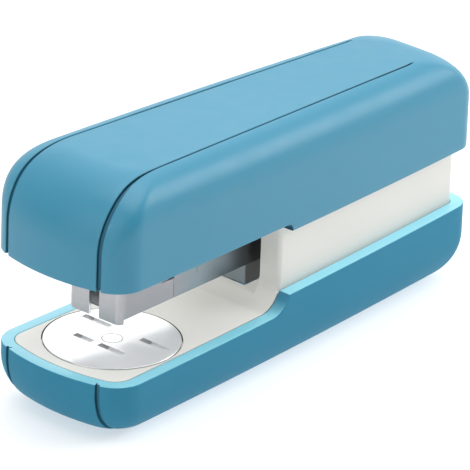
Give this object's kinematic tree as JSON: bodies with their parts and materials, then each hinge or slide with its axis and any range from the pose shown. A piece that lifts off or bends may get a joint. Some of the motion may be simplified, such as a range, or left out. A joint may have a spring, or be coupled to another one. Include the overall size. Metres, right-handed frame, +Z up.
{
  "type": "desktop stapler",
  "caption": "Full-strip desktop stapler with a long press cover hinged at the rear over a steel staple magazine, and a turning clinch anvil in the base.",
  "frame": {"origin": "on the table under the middle of the body", "axes": "-Y towards the front, where the staple leaves; +Z up; X across"},
  "size_m": [0.0422, 0.1412, 0.0651],
  "materials": {
    "soft_blue": "fine-grained soft-touch moulding",
    "sole_rubber": "matt",
    "cream": "fine moulded texture",
    "zinc_steel": "zinc plated",
    "dark_steel": "blackened",
    "spring_steel": "bright drawn wire",
    "satin_steel": "satin",
    "chrome": "polished",
    "staple_wire": "bright wire, glued side by side",
    "black_plastic": "moulded"
  },
  "bodies": {
    "base": {"base_tub": "soft_blue", "rubber_sole": "sole_rubber", "inner_body": "cream", "chassis_plate": "zinc_steel", "hinge_bracket": "zinc_steel", "bracket_rivets": "zinc_steel", "hinge_axle": "zinc_steel", "axle_clips": "dark_steel", "return_spring": "spring_steel", "base_screws": "dark_steel"},
    "anvil": {"anvil_plate": "chrome", "anvil_rivet": "chrome", "anvil_washer": "zinc_steel", "anvil_clip": "dark_steel"},
    "magazine": {"magazine_channel": "satin_steel", "nose_plate": "satin_steel", "magazine_liner": "satin_steel", "staple_rail": "satin_steel", "magazine_rivets": "satin_steel", "staple_strip": "staple_wire", "lift_block": "black_plastic", "guide_rod": "zinc_steel", "rod_bracket": "zinc_steel"},
    "pusher": {"staple_pusher": "black_plastic", "pusher_spring": "spring_steel"},
    "handle": {"top_cover": "soft_blue", "handle_frame": "zinc_steel", "driver_blade": "chrome", "blade_rivets": "zinc_steel", "leaf_spring": "spring_steel", "leaf_rivets": "zinc_steel", "cover_screws": "dark_steel"}
  },
  "joints": [
    {"name": "magazine_swing", "type": "hinge", "parent": "base", "child": "magazine", "pos_m": [0, 0.0619, 0.03], "axis": [1, 0, 0], "range_deg": [0, 3.9], "stiffness_Nm_per_rad": 2, "springref_deg": -11.46, "deforming": ["return_spring"]},
    {"name": "handle_press", "type": "hinge", "parent": "magazine", "child": "handle", "pos_m": [0, 0.0619, 0.03], "axis": [1, 0, 0], "range_deg": [-60, 4.2], "deforming": ["leaf_spring"]},
    {"name": "anvil_turn", "type": "hinge", "parent": "base", "child": "anvil", "pos_m": [0, -0.0466, 0.0155], "axis": [0, 0, 1], "range_deg": [0, 180]},
    {"name": "pusher_slide", "type": "slide", "parent": "magazine", "child": "pusher", "axis": [0, 1, 0], "range_m": [0, 0.03], "stiffness_N_per_m": 40, "springref_m": -0.05, "deforming": ["pusher_spring"]}
  ]
}
